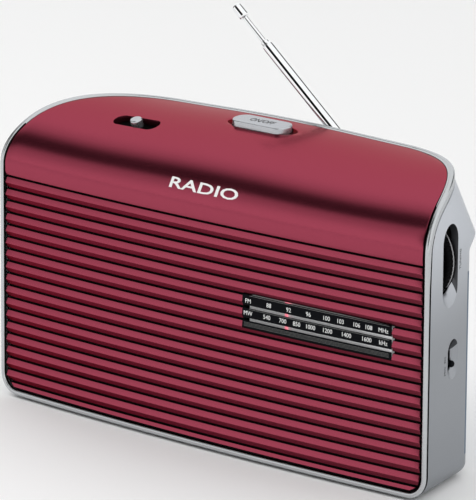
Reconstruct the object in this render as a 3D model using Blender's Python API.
"""Portable two-band radio with a ribbed bowed front, a silver rim and a telescopic aerial.

Design axes, in millimetres: x to the right, y from the front edge to the back, z up from the
bottom of the rim. One empty carries the whole radio to its standing place on the floor.
"""
import bpy
import bmesh
import math
from mathutils import Vector

MM = 0.001
GAP = 0.3                      # clearance between touching pieces

# ---- cabinet ---------------------------------------------------------------
HALF_WIDTH = 125.0
BOW = 4.16                     # how far the front stands forward at mid width
FRONT_TOP = 105.9              # where the upright front starts to lean back
REAR_REACH = 52.0              # depth at which the top becomes level
TOP_END = 134.8                # height of the top at its two ends
TOP_MID = 136.4                # height of the top at mid width
TOP_SPAN = 90.0
TAPER = 0.31                   # how much each side comes in per unit of depth
LOW_CORNER = 9.8               # radius of the lower front corners
RIM_DEPTH = 55.4               # depth of the top's rear edge
RIM_CORNER = 58.0              # plan radius of the rim's rear corners
BACK_DEPTH = 46.5              # depth of the lower back wall
BACK_CORNER = 8.0
EAR_DEPTH = 57.2               # depth of the two ears beside the aerial recess
EAR_CORNER = 17.0
RECESS_DEPTH = 53.2
WAIST = 98.3                   # height at which the ears start
EAR_SHARE = 0.2                # where the ears reach furthest back, from waist to rim
WALL = 2.2
RIM_WIDTH = 3.2                # face width of the silver rim
RIM_THICK = 3.2
RIM_LIP = 0.4                  # how far the rim stands proud of the front
FOOT_DROP = 1.2

# ---- ribbed front ----------------------------------------------------------
SLOTS = 18
SLOT_TOP = 100.8               # height of the highest slot
SLOT_PITCH = 5.588
SLOT_HALF = 0.5
SLOT_DEPTH = 2.0
RIB_SET_BACK = 0.8             # rib edges sit this far behind the rib's crest
RIB_CREST = 2.5                # from a rib's upper edge down to its crest
PANEL_THICK = 3.2

AERIAL_Y = 58.3                # the aerial's plane, behind the back
AERIAL_HUB = 2.9

Y_SHIFT = -(AERIAL_Y + AERIAL_HUB - BOW - RIM_LIP) / 2


# ---- scene and materials ---------------------------------------------------
def clear_scene():
    for obj in list(bpy.data.objects):
        bpy.data.objects.remove(obj, do_unlink=True)


clear_scene()
radio = bpy.data.objects.new("radio_frame", None)
radio.location = (0, Y_SHIFT * MM, FOOT_DROP * MM)
bpy.context.scene.collection.objects.link(radio)


def material(name, color, roughness, metallic=0.0):
    mat = bpy.data.materials.new(name)
    mat.use_nodes = True
    shader = mat.node_tree.nodes["Principled BSDF"]
    shader.inputs["Base Color"].default_value = (*color, 1)
    shader.inputs["Roughness"].default_value = roughness
    shader.inputs["Metallic"].default_value = metallic
    return mat


RED = material("red_lacquer", (0.33, 0.054, 0.083), 0.3)
SILVER = material("silver_paint", (0.5, 0.52, 0.54), 0.35, 0.6)
GREY = material("blue_grey_plastic", (0.14, 0.19, 0.25), 0.5)
BLACK = material("black_plastic", (0.02, 0.02, 0.022), 0.45)
GLOSS = material("black_window", (0.01, 0.01, 0.012), 0.1)
CHROME = material("chrome", (0.7, 0.7, 0.72), 0.1, 1.0)
STEEL = material("zinc_steel", (0.45, 0.45, 0.46), 0.35, 1.0)
RUBBER = material("rubber", (0.03, 0.03, 0.03), 0.85)
BOARD = material("circuit_board", (0.24, 0.16, 0.06), 0.6)
FERRITE = material("ferrite", (0.05, 0.05, 0.055), 0.7)
COPPER = material("copper_wire", (0.5, 0.2, 0.08), 0.35, 1.0)
PAPER = material("cone_paper", (0.06, 0.06, 0.065), 0.9)
CLOTH = material("speaker_cloth", (0.01, 0.01, 0.01), 0.95)
POINTER = material("red_pointer", (0.75, 0.12, 0.1), 0.4)
BRASS = material("brass", (0.6, 0.42, 0.15), 0.3, 1.0)


# ---- mesh helpers ----------------------------------------------------------
def add(name, verts, faces, mat, origin=(0, 0, 0), smooth=35):
    """A closed solid from points in design millimetres, with its origin at a design point."""
    mesh = bpy.data.meshes.new(name)
    o = Vector(origin)
    mesh.from_pydata([(Vector(v) - o) * MM for v in verts], [], faces)
    bm = bmesh.new()
    bm.from_mesh(mesh)
    bmesh.ops.remove_doubles(bm, verts=bm.verts, dist=1e-7)
    bmesh.ops.recalc_face_normals(bm, faces=bm.faces)
    bm.to_mesh(mesh)
    bm.free()
    mesh.shade_smooth()
    mesh.set_sharp_from_angle(angle=math.radians(smooth))
    mesh.materials.append(mat)
    obj = bpy.data.objects.new(name, mesh)
    bpy.context.scene.collection.objects.link(obj)
    obj.parent = radio
    obj.location = o * MM
    return obj


def strip(faces, first, second, closed=True):
    """Quads between two rows of point indices."""
    count = len(first)
    for i in range(count if closed else count - 1):
        j = (i + 1) % count
        faces.append((first[i], first[j], second[j], second[i]))


def loft(name, loops, mat, origin=(0, 0, 0), caps=True, ring=False, smooth=35):
    """A solid through loops of equal length: capped at both ends, or closed into a ring."""
    count = len(loops[0])
    verts = [p for loop in loops for p in loop]
    rows = [list(range(k * count, (k + 1) * count)) for k in range(len(loops))]
    faces = []
    for first, second in zip(rows, rows[1:]):
        strip(faces, first, second)
    if ring:
        strip(faces, rows[-1], rows[0])
    elif caps:
        faces.append(tuple(reversed(rows[0])))
        faces.append(tuple(rows[-1]))
    return add(name, verts, faces, mat, origin, smooth)


def axes_for(direction):
    """Two unit vectors across a direction."""
    d = Vector(direction).normalized()
    side = Vector((0, 0, 1)) if abs(d.z) < 0.9 else Vector((0, 1, 0))
    u = side.cross(d).normalized()
    return d, u, d.cross(u)


def turned(name, centre, direction, profile, mat, steps=24, origin=None, ring=False, smooth=35):
    """A turned solid: profile points are (distance along the axis, radius)."""
    d, u, v = axes_for(direction)
    c = Vector(centre)
    loops = []
    for along, radius in profile:
        loops.append([c + d * along + (u * math.cos(t) + v * math.sin(t)) * radius
                      for t in (2 * math.pi * k / steps for k in range(steps))])
    return loft(name, loops, mat, origin or centre, ring=ring, smooth=smooth)


def box_points(low, high):
    (x0, y0, z0), (x1, y1, z1) = low, high
    return [(x, y, z) for z in (z0, z1) for x, y in ((x0, y0), (x1, y0), (x1, y1), (x0, y1))]


BOX_FACES = [(3, 2, 1, 0), (4, 5, 6, 7), (0, 1, 5, 4), (1, 2, 6, 5), (2, 3, 7, 6), (3, 0, 4, 7)]


def box(name, low, high, mat, bevel=0.0, origin=(0, 0, 0)):
    obj = add(name, box_points(low, high), BOX_FACES, mat, origin)
    if bevel:
        mod = obj.modifiers.new("edges", "BEVEL")
        mod.width = bevel * MM
        mod.segments = 1
    return obj


def cutter(name, parts):
    """One hidden cutting body from several closed shapes: (points, faces)."""
    verts, faces = [], []
    for points, polygons in parts:
        base = len(verts)
        verts += points
        faces += [tuple(base + i for i in polygon) for polygon in polygons]
    obj = add(name, verts, faces, BLACK)
    obj.hide_render = True
    obj.display_type = "WIRE"
    return obj


def box_shape(low, high):
    return box_points(low, high), BOX_FACES


def bar_shape(centre, direction, profile, steps=20, stretch=0.0, across=None):
    """A turned cutting shape, drawn out both ways by stretch along the across direction."""
    d, u, v = axes_for(direction)
    if across:
        u = Vector(across).normalized()
        v = d.cross(u)
    c = Vector(centre)
    points, faces = [], []
    for along, radius in profile:
        for k in range(steps):
            t = 2 * math.pi * (k + 0.5) / steps
            run = radius * math.cos(t) + math.copysign(stretch, math.cos(t))
            points.append(c + d * along + u * run + v * radius * math.sin(t))
    rows = [list(range(k * steps, (k + 1) * steps)) for k in range(len(profile))]
    for first, second in zip(rows, rows[1:]):
        strip(faces, first, second)
    faces.append(tuple(reversed(rows[0])))
    faces.append(tuple(rows[-1]))
    return points, faces


def cut(obj, tool):
    mod = obj.modifiers.new(tool.name, "BOOLEAN")
    mod.operation = "DIFFERENCE"
    mod.solver = "EXACT"
    mod.object = tool


# ---- the cabinet's surfaces ------------------------------------------------
def front_y(x):
    return -BOW * (1 - (x / HALF_WIDTH) ** 2)


def top_z(x):
    return TOP_MID - (TOP_MID - TOP_END) * math.sin(min(abs(x) / TOP_SPAN, 1) * math.pi / 2) ** 2


def face_point(x, lean, depth):
    """A point of the front and top surface: lean runs from 0, upright, to 1, level."""
    a = lean * math.pi / 2
    y0 = front_y(x) + depth
    return (x, y0 + (REAR_REACH - y0) * (1 - math.cos(a)),
            FRONT_TOP + (top_z(x) - FRONT_TOP - depth) * math.sin(a))


def lean_at(x, y, depth):
    y0 = front_y(x) + depth
    share = min(max((y - y0) / (REAR_REACH - y0), 0), 1)
    return math.acos(1 - share) * 2 / math.pi


def top_point(x, y, depth=0.0):
    return face_point(x, lean_at(x, y, depth), depth)


def plan_point(q, inset, back, corner, start=0.0):
    """Right half of a plan outline: q 0-1 along the side, 1-2 round the corner, 2-3 to mid back."""
    tilt = math.atan(TAPER)
    radius = corner - inset
    yc = back - inset - radius
    xc = HALF_WIDTH - inset - TAPER * yc - radius / math.cos(tilt)
    end = yc + radius * math.sin(tilt)
    if q < 1:
        y = start + (end - start) * (1 - math.cos(q * math.pi / 2))
        return HALF_WIDTH - inset - TAPER * y, y
    if q <= 2:
        a = tilt + (math.pi / 2 - tilt) * (q - 1)
        return xc + radius * math.cos(a), yc + radius * math.sin(a)
    return xc * (3 - q), back - inset


SIDE_STEPS = [k / 8 for k in range(8)]
CORNER_STEPS = [1 + k / 8 for k in range(8)]
BACK_STEPS = [2, 2.1, 2.16, 2.45, 2.75, 3]
PLAN_STEPS = SIDE_STEPS + CORNER_STEPS + BACK_STEPS
SIDE_LEVELS = [LOW_CORNER, 30, 54, 75, WAIST]
EAR_SHARES = [EAR_SHARE, 0.6, 1]
CORNER_ARC = 5


def side_x(y, inset):
    return HALF_WIDTH - inset - TAPER * y


def rim_top(q, inset, depth):
    x, y = plan_point(q, inset, RIM_DEPTH, RIM_CORNER, front_y(HALF_WIDTH - inset) + depth)
    return top_point(x, max(y, front_y(x) + depth), depth)


def side_levels(top):
    return SIDE_LEVELS + [WAIST + (top - WAIST) * share for share in EAR_SHARES]


def rim_half(inset, depth):
    """Points from the middle of the bottom, up the right side and over to the middle of the back."""
    points = []
    y_edge = front_y(HALF_WIDTH - inset) + depth
    centre = side_x(y_edge, 0) - LOW_CORNER
    for k in range(8):
        x = centre * k / 8
        points.append((x, front_y(x) + depth, inset))
    for k in range(CORNER_ARC):
        a = math.pi / 2 * (1 - k / CORNER_ARC)
        x = centre + (LOW_CORNER - inset) * math.cos(a)
        points.append((x, front_y(x) + depth, LOW_CORNER - (LOW_CORNER - inset) * math.sin(a)))
    for z in side_levels(FRONT_TOP)[:-1]:
        points.append((side_x(y_edge, inset), y_edge, z))
    for q in PLAN_STEPS:
        points.append(rim_top(q, inset, depth))
    return points


def mirrored(points):
    return [(-x, y, z) for x, y, z in points]


def rim_loop(inset, depth):
    half = rim_half(inset, depth)
    return half + mirrored(half[1:-1])[::-1]


# ---- silver rim ------------------------------------------------------------
RIM_SECTION = [(RIM_WIDTH, RIM_THICK), (RIM_WIDTH, 0.1), (2.3, -RIM_LIP), (0.9, -RIM_LIP + 0.1),
               (0.0, 0.6), (0.0, RIM_THICK)]


def build_rim():
    loops = [rim_loop(inset, depth) for inset, depth in RIM_SECTION]
    return loft("front_rim", loops, SILVER, ring=True)


# ---- red front -------------------------------------------------------------
PANEL_INSET = RIM_WIDTH + GAP
COLUMNS = 14


def panel_edge_low(z):
    reach = LOW_CORNER - PANEL_INSET
    centre = HALF_WIDTH - LOW_CORNER
    if z >= LOW_CORNER:
        return HALF_WIDTH - PANEL_INSET
    return centre + math.sqrt(max(reach ** 2 - (LOW_CORNER - z) ** 2, 0))


def low_row(z, depth):
    edge = panel_edge_low(z) - TAPER * depth
    row = []
    for k in range(COLUMNS + 1):
        x = edge * (2 * k / COLUMNS - 1)
        row.append((x, front_y(x) + depth, z))
    return row


def high_row(q, depth):
    start = front_y(HALF_WIDTH - PANEL_INSET) + depth
    x_edge, y_edge = plan_point(q, PANEL_INSET, RIM_DEPTH, RIM_CORNER, start)
    lean = lean_at(x_edge, y_edge, depth)
    return [face_point(x_edge * (2 * k / COLUMNS - 1), lean, depth) for k in range(COLUMNS + 1)]


HIGH_STEPS = SIDE_STEPS + CORNER_STEPS + [2]


def slot_height(k):
    return SLOT_TOP - k * SLOT_PITCH


def build_panel():
    outer, inner, owner = [], [], []
    outer.append(low_row(PANEL_INSET, RIB_SET_BACK))
    inner.append(low_row(PANEL_INSET, PANEL_THICK))
    owner.append(0)
    for k in reversed(range(SLOTS)):
        z = slot_height(k)
        rows = [(z - SLOT_HALF, RIB_SET_BACK), (z - SLOT_HALF, SLOT_DEPTH),
                (z + SLOT_HALF, SLOT_DEPTH), (z + SLOT_HALF, RIB_SET_BACK if k else 0)]
        if k:
            rows.append((z + SLOT_PITCH - SLOT_HALF - RIB_CREST, 0))
        outer += [low_row(height, depth) for height, depth in rows]
        inner.append(low_row(z + SLOT_HALF, PANEL_THICK))
        owner += [len(inner) - 1] * len(rows)
    for q in HIGH_STEPS:
        outer.append(high_row(q, 0))
        inner.append(high_row(q, PANEL_THICK))
        owner.append(len(inner) - 1)
    width = COLUMNS + 1
    verts = [p for row in outer for p in row] + [p for row in inner for p in row]
    base = len(outer) * width
    faces = []
    for r in range(len(outer) - 1):
        for c in range(COLUMNS):
            i = r * width + c
            faces.append((i, i + 1, i + 1 + width, i + width))
    for r in range(len(inner) - 1):
        for c in range(COLUMNS):
            i = base + r * width + c
            faces.append((i, i + width, i + 1 + width, i + 1))
    for c in (0, COLUMNS):
        for r in range(len(inner) - 1):
            members = [k for k in range(len(outer)) if owner[k] == r]
            members.append(members[-1] + 1)
            side = [k * width + c for k in members] + [base + (r + 1) * width + c, base + r * width + c]
            faces.append(tuple(side))
    last = (len(outer) - 1) * width
    last_inner = base + (len(inner) - 1) * width
    for c in range(COLUMNS):
        faces.append((c, base + c, base + c + 1, c + 1))
        faces.append((last + c, last + c + 1, last_inner + c + 1, last_inner + c))
    return add("front_panel", verts, faces, RED, smooth=30)


rim = build_rim()
panel = build_panel()


# ---- silver rear housing ---------------------------------------------------
HOUSING_DEPTH = RIM_THICK + GAP
BACK_EDGE = 4.0                # radius of the bottom edge at the back


def level_plan(q, share):
    """Depth and corner radius of the cabinet's plan at a share of the way from waist to rim."""
    ear = EAR_DEPTH if q < 2.12 else RECESS_DEPTH
    if share <= EAR_SHARE:
        t = share / EAR_SHARE
        return BACK_DEPTH + (ear - BACK_DEPTH) * t, BACK_CORNER + (EAR_CORNER - BACK_CORNER) * t
    t = (share - EAR_SHARE) / (1 - EAR_SHARE)
    return ear + (RIM_DEPTH - ear) * t, EAR_CORNER + (RIM_CORNER - EAR_CORNER) * t


def wall_column(q, inset):
    """One upright line of the housing's wall, from the rim down and under to the floor."""
    start = front_y(HALF_WIDTH - inset) + HOUSING_DEPTH
    top = rim_top(q, inset, HOUSING_DEPTH)
    column = [top]
    for share in reversed(EAR_SHARES[:-1]):
        x, y = plan_point(q, inset, *level_plan(q, share), start)
        column.append((x, y, WAIST + (top[2] - WAIST) * share))
    x, y = plan_point(q, inset, BACK_DEPTH, BACK_CORNER, start)
    column += [(x, y, z) for z in reversed(SIDE_LEVELS)]
    turn = math.pi / 2 * min(max(q - 1, 0), 1)
    radius = LOW_CORNER + (BACK_EDGE - LOW_CORNER) * min(q, 2) / 2
    for k in reversed(range(CORNER_ARC)):
        a = math.pi / 2 * (1 - k / CORNER_ARC)
        run = (radius - inset) * (1 - math.cos(a))
        px = x - run * math.cos(turn)
        py = y - run * math.sin(turn)
        if q == 0:
            py = front_y(px) + HOUSING_DEPTH
        column.append((px, py, radius - (radius - inset) * math.sin(a)))
    return column


def wall_shell(inset):
    right = [wall_column(q, inset) for q in PLAN_STEPS]
    left = [mirrored(column) for column in right[:-1]][::-1]
    columns = right + left
    bottom = rim_half(inset, HOUSING_DEPTH)[:8]
    front = mirrored(bottom[1:])[::-1] + bottom
    return columns, front


def build_housing():
    verts, faces, loops = [], [], []
    for inset in (0, WALL):
        columns, front = wall_shell(inset)
        height = len(columns[0])
        base = len(verts)
        verts += [p for column in columns for p in column] + front
        grid = [[base + c * height + r for r in range(height)] for c in range(len(columns))]
        edge = list(range(base + len(columns) * height, len(verts)))
        for first, second in zip(grid, grid[1:]):
            strip(faces, first, second, closed=False)
        faces.append(tuple([column[-1] for column in grid] + edge))
        loops.append([column[0] for column in grid] + grid[-1][1:] + edge + grid[0][:0:-1])
    strip(faces, loops[0], loops[1])
    return add("rear_housing", verts, faces, SILVER, smooth=40)


housing = build_housing()

# ---- back cover and battery door ------------------------------------------
COVER_HALF = 103.0
COVER_LOW = 5.3
COVER_HIGH = 95.6
COVER_FRONT = BACK_DEPTH + GAP
COVER_BACK = 53.0
COVER_SKIN = 2.0
DOOR_LEFT = -24.0
DOOR_TOP = 54.0
FAR = 200.0

cover = box("back_cover", (-COVER_HALF, COVER_FRONT, COVER_LOW), (COVER_HALF, COVER_BACK, COVER_HIGH),
            GREY, 2.5)
cut(cover, cutter("cover_cuts", [
    box_shape((DOOR_LEFT - GAP, 0, -FAR), (FAR, FAR, DOOR_TOP + GAP))]))
cut(cover, cutter("cover_hollow", [
    box_shape((-COVER_HALF + COVER_SKIN, 0, COVER_LOW + COVER_SKIN),
              (COVER_HALF - COVER_SKIN, COVER_BACK - COVER_SKIN, COVER_HIGH - COVER_SKIN))]))

DOOR_PIVOT = (38.0, COVER_BACK - 3, COVER_LOW + 2)
door = box("battery_door", (DOOR_LEFT, COVER_FRONT, COVER_LOW), (COVER_HALF, COVER_BACK, DOOR_TOP),
           GREY, 2.0, DOOR_PIVOT)
cut(door, cutter("door_hollow", [
    box_shape((DOOR_LEFT + COVER_SKIN, 0, COVER_LOW + COVER_SKIN),
              (COVER_HALF - COVER_SKIN, COVER_BACK - COVER_SKIN, DOOR_TOP - COVER_SKIN))]))

OPENING_HALF = 92.0
OPENING_LOW = 14.0
OPENING_HIGH = 90.0
housing_cuts = [box_shape((-OPENING_HALF, 40, OPENING_LOW), (OPENING_HALF, FAR / 3, OPENING_HIGH))]

# ---- battery bay -----------------------------------------------------------
BAY_LOW = (-21.5, 16.0, 15.5)   # two round cells of 50 mm lie end to end along x
BAY_HIGH = (91.4, 50.5, 50.0)
BAY_WALL = 1.6

bay = box("battery_box", BAY_LOW, BAY_HIGH, BLACK)
cut(bay, cutter("bay_hollow", [
    box_shape(tuple(c + BAY_WALL for c in BAY_LOW),
              (BAY_HIGH[0] - BAY_WALL, FAR / 3, BAY_HIGH[2] - BAY_WALL))]))
BAY_MID_Z = (BAY_LOW[2] + BAY_HIGH[2]) / 2
BAY_CELL_Y = 32.0


def coil(name, centre, direction, radius, length, turns, wire, mat, steps=10, sides=5):
    """A coil spring as a swept round wire."""
    d, u, v = axes_for(direction)
    c = Vector(centre)
    loops = []
    count = int(turns * steps)
    for k in range(count + 1):
        t = 2 * math.pi * k / steps
        out = u * math.cos(t) + v * math.sin(t)
        middle = c + out * radius + d * length * k / count
        climb = d * (length / turns / (2 * math.pi * radius))
        along = (v * math.cos(t) - u * math.sin(t) + climb).normalized()
        up = along.cross(out)
        loops.append([middle + (out * math.cos(a) + up * math.sin(a)) * wire
                      for a in (2 * math.pi * s / sides for s in range(sides))])
    return loft(name, loops, mat, origin=centre)


coil("battery_spring", (BAY_LOW[0] + BAY_WALL + 1.0, BAY_CELL_Y, BAY_MID_Z), (1, 0, 0),
     6, 6, 3, 0.45, STEEL)
box("battery_contact", (BAY_HIGH[0] - BAY_WALL - 0.8, BAY_CELL_Y - 7, BAY_MID_Z - 7),
    (BAY_HIGH[0] - BAY_WALL - GAP, BAY_CELL_Y + 7, BAY_MID_Z + 7), STEEL)

# ---- tuning wheel, drum and dial ------------------------------------------
WHEEL = (98.0, 97.0)           # axis, x and z
WHEEL_RADIUS = 18.6
WHEEL_FRONT = 22.5
WHEEL_BACK = 28.5
HUB_RADIUS = 10.5
HUB_FRONT = 17.5
DRUM = (52.0, 97.0)
DRUM_RADIUS = 16.0
BOARD_FRONT = 38.0
PIN_RADIUS = 1.9

turned("tuning_wheel", (WHEEL[0], 0, WHEEL[1]), (0, 1, 0), [
    (HUB_FRONT, PIN_RADIUS + 0.35), (HUB_FRONT, HUB_RADIUS), (WHEEL_FRONT, HUB_RADIUS),
    (WHEEL_FRONT, WHEEL_RADIUS - 0.8), (WHEEL_FRONT + 0.8, WHEEL_RADIUS), (WHEEL_BACK - 0.8, WHEEL_RADIUS),
    (WHEEL_BACK, WHEEL_RADIUS - 0.8), (WHEEL_BACK, PIN_RADIUS + 0.35)], BLACK, 32,
    origin=(WHEEL[0], WHEEL_FRONT, WHEEL[1]), ring=True)
turned("tuning_pin", (WHEEL[0], 0, WHEEL[1]), (0, 1, 0), [
    (16, PIN_RADIUS), (WHEEL_BACK + GAP, PIN_RADIUS), (WHEEL_BACK + GAP, 4),
    (BOARD_FRONT - GAP, 4)], BRASS, 16)
turned("tuning_drum", (DRUM[0], 0, DRUM[1]), (0, 1, 0), [
    (HUB_FRONT, DRUM_RADIUS), (HUB_FRONT + 4, DRUM_RADIUS), (HUB_FRONT + 4, 3), (25.7, 3)], BLACK, 28)
box("tuning_capacitor", (DRUM[0] - 11, 26, DRUM[1] - 11),
    (DRUM[0] + 11, BOARD_FRONT - GAP, DRUM[1] + 11), GREY, 0.8)


def belt(name, first, r1, second, r2, y, wire, mat):
    """A cord lying round two level wheels, as a closed loop of small section."""
    run = second[0] - first[0]
    a = math.acos((r1 - r2) / run)
    middle = []
    for centre, radius, low, high in ((first, r1, a, 2 * math.pi - a), (second, r2, -a, a)):
        for k in range(13):
            t = low + (high - low) * k / 12
            out = Vector((math.cos(t), 0, math.sin(t)))
            middle.append((Vector((centre[0], y, centre[1])) + out * radius, out))
    loops = []
    for point, out in middle:
        loops.append([point + out * wire * math.cos(s) + Vector((0, wire * math.sin(s), 0))
                      for s in (2 * math.pi * k / 6 for k in range(6))])
    return loft(name, loops, mat, ring=True)


CORD = 0.35
belt("dial_cord", DRUM, DRUM_RADIUS + GAP + CORD, WHEEL, HUB_RADIUS + GAP + CORD,
     HUB_FRONT + 2, CORD, CLOTH)

DIAL_LEFT = 25.0
DIAL_RIGHT = 106.0
DIAL_LOW = 58.4
DIAL_HIGH = 73.2
WINDOW_BACK = 0.7
PLATE_FRONT = 3.2
PLATE_BACK = 4.4
PAD_FRONT = 0.1
PAD_TOP = 71.8
POINTER_X = 47.0
POINTER_Y = -0.8
POINTER_THICK = 0.6
POINTER_SIDE = 0.5
STEM_BACK = PLATE_FRONT - 0.5


def curved_plate(name, left, right, low, high, front, back, mat, columns=8):
    """A plate that follows the front's bow."""
    loops = []
    for k in range(columns + 1):
        x = left + (right - left) * k / columns
        y = front_y(x)
        loops.append([(x, y + front, low), (x, y + back, low),
                      (x, y + back, high), (x, y + front, high)])
    return loft(name, loops, mat)


curved_plate("dial_window", DIAL_LEFT, DIAL_RIGHT, DIAL_LOW, DIAL_HIGH, -0.1, WINDOW_BACK, GLOSS)
window_cut = curved_plate("window_cut", DIAL_LEFT - GAP, DIAL_RIGHT + GAP, DIAL_LOW - GAP,
                          DIAL_HIGH + GAP, -3, 6, BLACK)
window_cut.hide_render = True
window_cut.display_type = "WIRE"


def upright_loop(left, right, y, low, high):
    return [(left, y, low), (right, y, low), (right, y, high), (left, y, high)]


def dial_plate():
    """A plate behind the panel, with a raised pad that backs the scale inside the opening."""
    pad = (DIAL_LEFT + 2 * GAP, DIAL_RIGHT - 2 * GAP)
    plate = (DIAL_LEFT - 8, DIAL_RIGHT + 2)
    low = DIAL_LOW + GAP
    return loft("dial_plate", [
        upright_loop(*pad, PAD_FRONT, low, PAD_TOP),
        upright_loop(*pad, PLATE_FRONT, low, PAD_TOP),
        upright_loop(*plate, PLATE_FRONT, DIAL_LOW - 2, DIAL_HIGH + 8),
        upright_loop(*plate, PLATE_BACK, DIAL_LOW - 2, DIAL_HIGH + 8)], BLACK)


def dial_pointer():
    """A bent strip: a blade in front of the pad, an arm over the pad's top and a stem behind the panel."""
    arm_low = PAD_TOP + GAP + 0.1
    arm_high = DIAL_HIGH - GAP
    stem_top = DIAL_HIGH + 4
    outline = [(POINTER_Y, DIAL_LOW + 1), (POINTER_Y + POINTER_THICK, DIAL_LOW + 1),
               (POINTER_Y + POINTER_THICK, arm_low), (STEM_BACK, arm_low), (STEM_BACK, stem_top),
               (STEM_BACK - 0.8, stem_top), (STEM_BACK - 0.8, arm_high), (POINTER_Y, arm_high)]
    loops = []
    for x in (POINTER_X - POINTER_SIDE, POINTER_X + POINTER_SIDE):
        loops.append([(x, y, z) for y, z in outline])
    return loft("dial_pointer", loops, POINTER, origin=(POINTER_X, POINTER_Y, DIAL_LOW))


dial_plate()
dial_pointer()

# ---- band switch -----------------------------------------------------------
BAND_Y = 26.5
BAND_Z = 55.4
NUB_Z = 53.2
BAND_X = side_x(BAND_Y, 0)

turned("band_switch_knob", (BAND_X - 8, BAND_Y, NUB_Z), (1, 0, 0), [
    (0, 2.6), (1.5, 2.6), (1.5, 1.7), (7.6, 1.6), (8.2, 1.1)], BLACK, 14)
box("band_switch_body", (BAND_X - 18, BAND_Y - 5, BAND_Z - 10),
    (BAND_X - 8 - GAP, BAND_Y + 5, BAND_Z + 10), STEEL, 0.4)

# ---- volume slide ----------------------------------------------------------
VOLUME = (-62.4, 22.6)
VOLUME_RADIUS = 2.9


def surface_normal(x, y):
    ax, ay, az = top_point(x, y)
    along = Vector(top_point(x, y + 0.5)) - Vector((ax, ay, az))
    return along.cross(Vector((-1, 0, 0))).normalized()


volume_top = Vector(top_point(*VOLUME))
volume_up = surface_normal(*VOLUME)
turned("volume_knob", volume_top, volume_up, [
    (-7.5, 1.4), (-2.4, 1.4), (-2.4, VOLUME_RADIUS), (1.2, VOLUME_RADIUS),
    (1.8, VOLUME_RADIUS - 0.6)], SILVER, 20)
pot_middle = volume_top - volume_up * 7.8
box("volume_pot", (VOLUME[0] - 16, pot_middle.y - 4.5, pot_middle.z - 8.5),
    (VOLUME[0] + 16, pot_middle.y + 4.5, pot_middle.z - 1.2), STEEL, 0.4)

# ---- power button ----------------------------------------------------------
POWER = (-2.3, 38.5)
POWER_HALF_RUN = 10.5
POWER_RADIUS = 5.2
power_top = Vector(top_point(*POWER))


def stadium_loop(centre, half_run, radius, z, slope=0.0, steps=8):
    points = []
    for sign, first in ((1, -math.pi / 2), (-1, math.pi / 2)):
        for k in range(steps + 1):
            a = first + math.pi * k / steps
            x = centre[0] + sign * half_run + radius * math.cos(a)
            y = centre[1] + radius * math.sin(a)
            points.append((x, y, z + slope * (y - centre[1])))
    return points


def stadium(name, centre, half_run, levels, mat, origin, slope=0.0):
    loops = [stadium_loop(centre, half_run, radius, z, slope) for z, radius in levels]
    return loft(name, loops, mat, origin)


button = stadium("power_button", POWER, POWER_HALF_RUN, [
    (power_top.z - 3.0, POWER_RADIUS), (power_top.z + 1.5, POWER_RADIUS),
    (power_top.z + 2.2, POWER_RADIUS - 0.8)], SILVER, power_top, slope=0.1)
SPRING_RUN = 5.0
SPRING_LOW = power_top.z - 3.6 - SPRING_RUN
coil("power_spring", (POWER[0], POWER[1], SPRING_LOW), (0, 0, 1), 3.6, SPRING_RUN - 0.8, 4, 0.35, STEEL)
SWITCH_TOP = SPRING_LOW - 0.7
box("power_switch", (POWER[0] - 6, POWER[1] - 6, SWITCH_TOP - 8),
    (POWER[0] + 6, POWER[1] + 6, SWITCH_TOP), BLACK, 0.5)

# ---- speaker ---------------------------------------------------------------
SPEAKER = (-62.0, 0.0, 53.0)
SPEAKER_FRONT = 3.0
SPEAKER_RADIUS = 41.0
SPEAKER_SCREW_RING = 46.0


def speaker_part(name, profile, mat, steps=28, ring=False):
    points = [(SPEAKER_FRONT + along, radius) for along, radius in profile]
    origin = (SPEAKER[0], SPEAKER_FRONT, SPEAKER[2])
    return turned(name, SPEAKER, (0, 1, 0), points, mat, steps, origin=origin, ring=ring)


speaker_part("speaker_cloth", [(-0.8, 40), (-0.3, 40)], CLOTH, 24)
speaker_part("speaker_frame", [
    (0, 34), (0, SPEAKER_RADIUS), (1.5, SPEAKER_RADIUS), (1.5, 37), (15, 22), (16, 22), (16, 9.5),
    (14.8, 9.5), (14.8, 20.6)], STEEL, ring=True)
speaker_part("speaker_cone", [
    (10.3, 0.6), (8.4, 7.5), (2.0, 29.6), (1.2, 30.8), (1.8, 31.0), (2.8, 29.4), (9.4, 8.2),
    (11.4, 0.6)], PAPER)
speaker_part("speaker_magnet", [(16.3, 17), (16.3, 19), (26, 19), (26, 16)], FERRITE, 24)


def screw(name, head, direction, length, radius=1.3, head_radius=2.5, head_height=1.4):
    """A pan-head screw from the outer middle of its head."""
    return turned(name, head, direction, [
        (0, head_radius - 0.5), (0.4, head_radius), (head_height, head_radius), (head_height, radius),
        (length, radius)], STEEL, 12)


for number, turn in enumerate((45, 135, 225, 315), 1):
    a = math.radians(turn)
    x = SPEAKER[0] + SPEAKER_SCREW_RING * math.cos(a)
    z = SPEAKER[2] + SPEAKER_SCREW_RING * math.sin(a)
    clip_y = front_y(x) + PANEL_THICK + GAP
    head_y = SPEAKER_FRONT + 6
    screw("speaker_clip_%d" % number, (x, head_y, z), (0, -1, 0), head_y - clip_y, 1.6, 3.4)

# ---- circuit, ferrite rod, mains parts --------------------------------
box("main_board", (2, BOARD_FRONT, 54), (105, BOARD_FRONT + 1.6, 117), BOARD)
FERRITE_Y = 45.0
FERRITE_Z = 112.0
turned("ferrite_rod", (-78, FERRITE_Y, FERRITE_Z), (1, 0, 0), [(0, 4.2), (110, 4.2)], FERRITE, 14)
turned("ferrite_coil", (-60, FERRITE_Y, FERRITE_Z), (1, 0, 0), [
    (0, 4.6), (0, 5.4), (26, 5.4), (26, 4.6)], COPPER, 18, ring=True)
box("mains_transformer", (-98, 31, 12), (-64, 43.5, 40), STEEL, 0.6)

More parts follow.
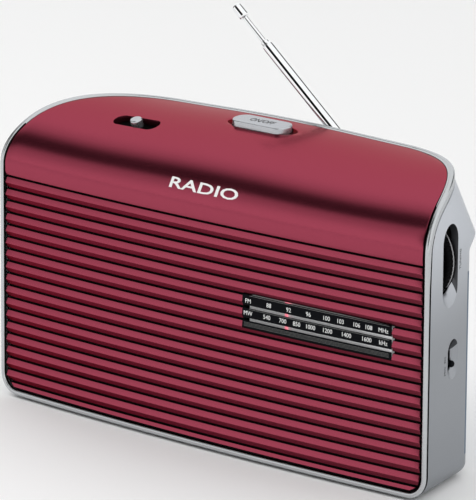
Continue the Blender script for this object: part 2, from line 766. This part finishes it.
INLET = (-98.6, 30.0, 26.0)
inlet = box("mains_inlet", (INLET[0] - 12.5, INLET[1] - 9, INLET[2] - 7),
            (INLET[0], INLET[1] + 5, INLET[2] + 7), BLACK)
cut(inlet, cutter("inlet_hollow", [
    box_shape((INLET[0] - 30, INLET[1] - 7, INLET[2] - 4.5),
              (INLET[0] - 2, INLET[1] + 3, INLET[2] + 4.5))]))
JACK = (-102.4, 27.0, 60.0)
jack = box("headphone_jack", (JACK[0] - 9, JACK[1] - 6, JACK[2] - 6),
           (JACK[0] + 6, JACK[1] + 6, JACK[2] + 6), BLACK)
cut(jack, cutter("jack_bore", [
    bar_shape((JACK[0] - 20, JACK[1], JACK[2]), (1, 0, 0), [(0, 1.8), (22, 1.8)], 14)]))

# ---- feet and case screws ---------------------------------------------------
FOOT_RADIUS = 6.0
for number, (x, y) in enumerate(((-98, 14), (98, 14), (-86, 36), (86, 36)), 1):
    turned("foot_%d" % number, (x, y, -FOOT_DROP), (0, 0, 1), [
        (0, FOOT_RADIUS - 0.4), (0.3, FOOT_RADIUS), (FOOT_DROP - GAP, FOOT_RADIUS)], RUBBER, 20)

CASE_SCREWS = ((-95.0, 10.0), (-32.0, 10.0), (-95.0, 91.0), (95.0, 91.0))
SCREW_HEAD_Y = COVER_BACK - 0.4
screw_holes = []
for number, (x, z) in enumerate(CASE_SCREWS, 1):
    screw("case_screw_%d" % number, (x, SCREW_HEAD_Y, z), (0, -1, 0), 11, 1.3, 2.2, 1.0)
    screw_holes.append(bar_shape((x, FAR / 3, z), (0, -1, 0), [
        (0, 2.6), (FAR / 3 - SCREW_HEAD_Y + 1.3, 2.6), (FAR / 3 - SCREW_HEAD_Y + 1.3, 1.7),
        (FAR / 3 - SCREW_HEAD_Y + 12, 1.7)], 12))
screw_tool = cutter("screw_cuts", screw_holes)
cut(cover, screw_tool)

# ---- telescopic aerial -------------------------------------------------------
AERIAL_PIVOT = Vector((64.7, AERIAL_Y, 100.0))
AERIAL_RISE = math.radians(38.9)
AERIAL_DIR = Vector((-math.cos(AERIAL_RISE), 0, math.sin(AERIAL_RISE)))
AERIAL_ACROSS = Vector((-AERIAL_DIR.z, 0, AERIAL_DIR.x))
HUB_WIDE = 4.6
TONGUE = 1.0                   # half thickness of the tube's root
SLIT = TONGUE + GAP
PIN = 0.8

BUSH_FRONT = 42.0
turned("aerial_bush", (AERIAL_PIVOT.x, 0, AERIAL_PIVOT.z), (0, 1, 0), [
    (BUSH_FRONT, 4.0), (AERIAL_Y - AERIAL_HUB - GAP, 4.0)], STEEL, 18)
hub = turned("aerial_hub", (AERIAL_PIVOT.x, 0, AERIAL_PIVOT.z), (0, 1, 0), [
    (AERIAL_Y - AERIAL_HUB, HUB_WIDE), (AERIAL_Y + AERIAL_HUB - 0.5, HUB_WIDE),
    (AERIAL_Y + AERIAL_HUB, HUB_WIDE - 0.5)], CHROME, 24, origin=AERIAL_PIVOT)


def slab_shape(centre, along, across, run, half, low_y, high_y):
    """A slab from the centre along one direction, between two depths."""
    points = []
    for y in (low_y, high_y):
        for s, t in ((run[0], -half), (run[1], -half), (run[1], half), (run[0], half)):
            p = Vector(centre) + along * s + across * t
            points.append((p.x, y, p.z))
    return points, BOX_FACES


cut(hub, cutter("hub_cuts", [
    slab_shape(AERIAL_PIVOT, AERIAL_DIR, AERIAL_ACROSS, (-9, 9), SLIT, AERIAL_Y - 2.1, AERIAL_Y + 9)]))
cut(hub, cutter("hub_bore", [bar_shape(AERIAL_PIVOT - AERIAL_ACROSS * 9, AERIAL_ACROSS, [
    (0, PIN + GAP), (18, PIN + GAP)], 12)]))
turned("aerial_pin", AERIAL_PIVOT, AERIAL_ACROSS, [(-4, PIN), (4, PIN)], STEEL, 12)

TUBE_ROOT = 6.6
TUBE_END = 106.2
ROD_END = 122.3
TUBES = ((2.6, 2.15), (1.85, 1.6))


def aerial_part(name, profile, steps=16, ring=False):
    return turned(name, AERIAL_PIVOT, AERIAL_DIR, profile, CHROME, steps, origin=AERIAL_PIVOT, ring=ring)


tube = aerial_part("aerial_tube_1", [
    (TUBE_ROOT, 2.1), (TUBE_ROOT + 0.8, TUBES[0][0]), (TUBE_END, TUBES[0][0]), (TUBE_END, TUBES[0][1]),
    (TUBE_ROOT + 3, TUBES[0][1])])
tongue = add("tongue_guide", *slab_shape(AERIAL_PIVOT, AERIAL_DIR, AERIAL_ACROSS,
                                         (-1.2, TUBE_ROOT + 2), TONGUE,
                                         AERIAL_Y - 1.6, AERIAL_Y + 1.6), CHROME)
tongue.hide_render = True
tongue.display_type = "WIRE"
join = tube.modifiers.new("tongue", "BOOLEAN")
join.operation = "UNION"
join.object = tongue
cut(tube, cutter("tongue_bore", [bar_shape(AERIAL_PIVOT - AERIAL_ACROSS * 5, AERIAL_ACROSS, [
    (0, PIN + GAP), (10, PIN + GAP)], 12)]))
aerial_part("aerial_tube_2", [(12, TUBES[1][1]), (12, TUBES[1][0]), (TUBE_END + 1.6, TUBES[1][0]),
                              (TUBE_END + 1.6, TUBES[1][1])], 16, ring=True)
aerial_part("aerial_rod", [(26, 1.3), (ROD_END, 1.3)], 12)
aerial_part("aerial_tip", [
    (ROD_END + GAP, 1.9), (ROD_END + 1.0, 2.3), (ROD_END + 6.4, 2.3), (ROD_END + 7.2, 1.6)], 16)

# ---- openings in the front and the housing -----------------------------------
cut(panel, window_cut)
cut(panel, cutter("volume_cuts", [bar_shape(volume_top - volume_up * 6, volume_up, [
    (0, 4.0), (12, 4.0)], 16, stretch=8.8, across=(1, 0, 0))]))
power_hole = loft("power_cuts", [stadium_loop(POWER, POWER_HALF_RUN, POWER_RADIUS + 0.4, z)
                                 for z in (power_top.z - 9, power_top.z + 9)], BLACK)
power_hole.hide_render = True
power_hole.display_type = "WIRE"
cut(panel, power_hole)

SOUND_HALF = 34.0
sound_slits = []
for k in range(SLOTS):
    rise = slot_height(k) - SPEAKER[2]
    if abs(rise) < SOUND_HALF - 2:
        run = math.sqrt(SOUND_HALF ** 2 - rise ** 2)
        sound_slits.append(box_shape((SPEAKER[0] - run, -3, slot_height(k) - SLOT_HALF * 0.8),
                                     (SPEAKER[0] + run, 6, slot_height(k) + SLOT_HALF * 0.8)))
cut(panel, cutter("sound_cuts", sound_slits))

TUNING_SLOT = (22.4, 96.8)     # middle, y and z
housing_cuts.append(bar_shape((80, TUNING_SLOT[0], TUNING_SLOT[1]), (1, 0, 0), [(0, 8.2), (60, 8.2)], 20,
                              stretch=9.6, across=(0, 0, 1)))
housing_cuts.append(bar_shape((100, BAND_Y, BAND_Z), (1, 0, 0), [(0, 3.6), (40, 3.6)], 16,
                              stretch=3.0, across=(0, 0, 1)))
housing_cuts.append(box_shape((-FAR, INLET[1] - 7, INLET[2] - 4.5), (-106, INLET[1] + 3, INLET[2] + 4.5)))
housing_cuts.append(bar_shape((-130, JACK[1], JACK[2]), (1, 0, 0), [(0, 3.2), (20, 3.2)], 16))
housing_cuts.append(bar_shape((AERIAL_PIVOT.x, 40, AERIAL_PIVOT.z), (0, 1, 0), [(0, 4.6), (30, 4.6)], 18))
cut(housing, cutter("housing_cuts", housing_cuts))
cut(housing, screw_tool)
